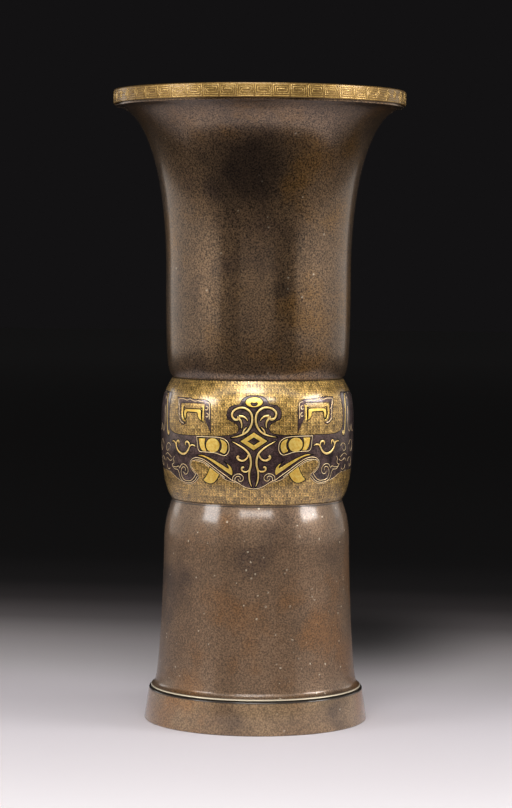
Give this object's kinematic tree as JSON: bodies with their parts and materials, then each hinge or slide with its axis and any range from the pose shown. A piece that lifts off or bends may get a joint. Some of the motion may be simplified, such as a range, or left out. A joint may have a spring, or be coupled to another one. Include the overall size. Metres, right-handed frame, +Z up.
{
  "type": "gu vase",
  "caption": "Tall bronze gu vase: wide trumpet mouth with a gold band at the lip, bulging waist with gold-inlaid beast masks, spreading body on a stepped foot ring.",
  "frame": {"origin": "centre of the foot ring's underside, on the surface the vase stands on", "axes": "+Z up along the vase's axis; -Y towards the viewer, through the middle of the front mask; +X to the viewer's right"},
  "size_m": [0.1274, 0.1274, 0.275],
  "materials": {
    "trumpet_bronze": "brown patinated bronze, satin polish",
    "body_bronze": "grey-brown patinated bronze, finely pitted",
    "foot_bronze": "grey-brown patinated bronze with worn bright edges",
    "inner_bronze": "dark unpolished bronze",
    "gilded_bronze": "bronze with a gold-inlaid fret field and purple-brown mask ground",
    "gold_inlay": "burnished inlaid gold",
    "sheet_gold": "gold band with an inlaid key fret, lightly tarnished"
  },
  "bodies": {
    "root": {"foot_ring": "foot_bronze", "lower_body": "body_bronze", "vessel_floor": "inner_bronze", "waist_band": "gilded_bronze", "trumpet": "trumpet_bronze", "lip_band": "sheet_gold", "front_crown_ring": "gold_inlay", "front_brow_diamond": "gold_inlay", "front_crest_scroll_right": "gold_inlay", "front_crest_scroll_left": "gold_inlay", "front_nose_scroll_right": "gold_inlay", "front_nose_scroll_left": "gold_inlay", "front_pupil_right": "gold_inlay", "front_pupil_left": "gold_inlay", "front_eye_corner_outer_right": "gold_inlay", "front_eye_corner_outer_left": "gold_inlay", "front_eye_corner_inner_right": "gold_inlay", "front_eye_corner_inner_left": "gold_inlay", "front_jaw_bar_right": "gold_inlay", "front_jaw_bar_left": "gold_inlay", "front_fang_right": "gold_inlay", "front_fang_left": "gold_inlay", "front_ear_scroll_right": "gold_inlay", "front_ear_scroll_left": "gold_inlay", "front_horn_right": "gold_inlay", "front_horn_left": "gold_inlay", "front_flank_hook_right": "gold_inlay", "front_flank_hook_left": "gold_inlay", "back_crown_ring": "gold_inlay", "back_brow_diamond": "gold_inlay", "back_crest_scroll_right": "gold_inlay", "back_crest_scroll_left": "gold_inlay", "back_nose_scroll_right": "gold_inlay", "back_nose_scroll_left": "gold_inlay", "back_pupil_right": "gold_inlay", "back_pupil_left": "gold_inlay", "back_eye_corner_outer_right": "gold_inlay", "back_eye_corner_outer_left": "gold_inlay", "back_eye_corner_inner_right": "gold_inlay", "back_eye_corner_inner_left": "gold_inlay", "back_jaw_bar_right": "gold_inlay", "back_jaw_bar_left": "gold_inlay", "back_fang_right": "gold_inlay", "back_fang_left": "gold_inlay", "back_ear_scroll_right": "gold_inlay", "back_ear_scroll_left": "gold_inlay", "back_horn_right": "gold_inlay", "back_horn_left": "gold_inlay", "back_flank_hook_right": "gold_inlay", "back_flank_hook_left": "gold_inlay"}
  },
  "joints": []
}
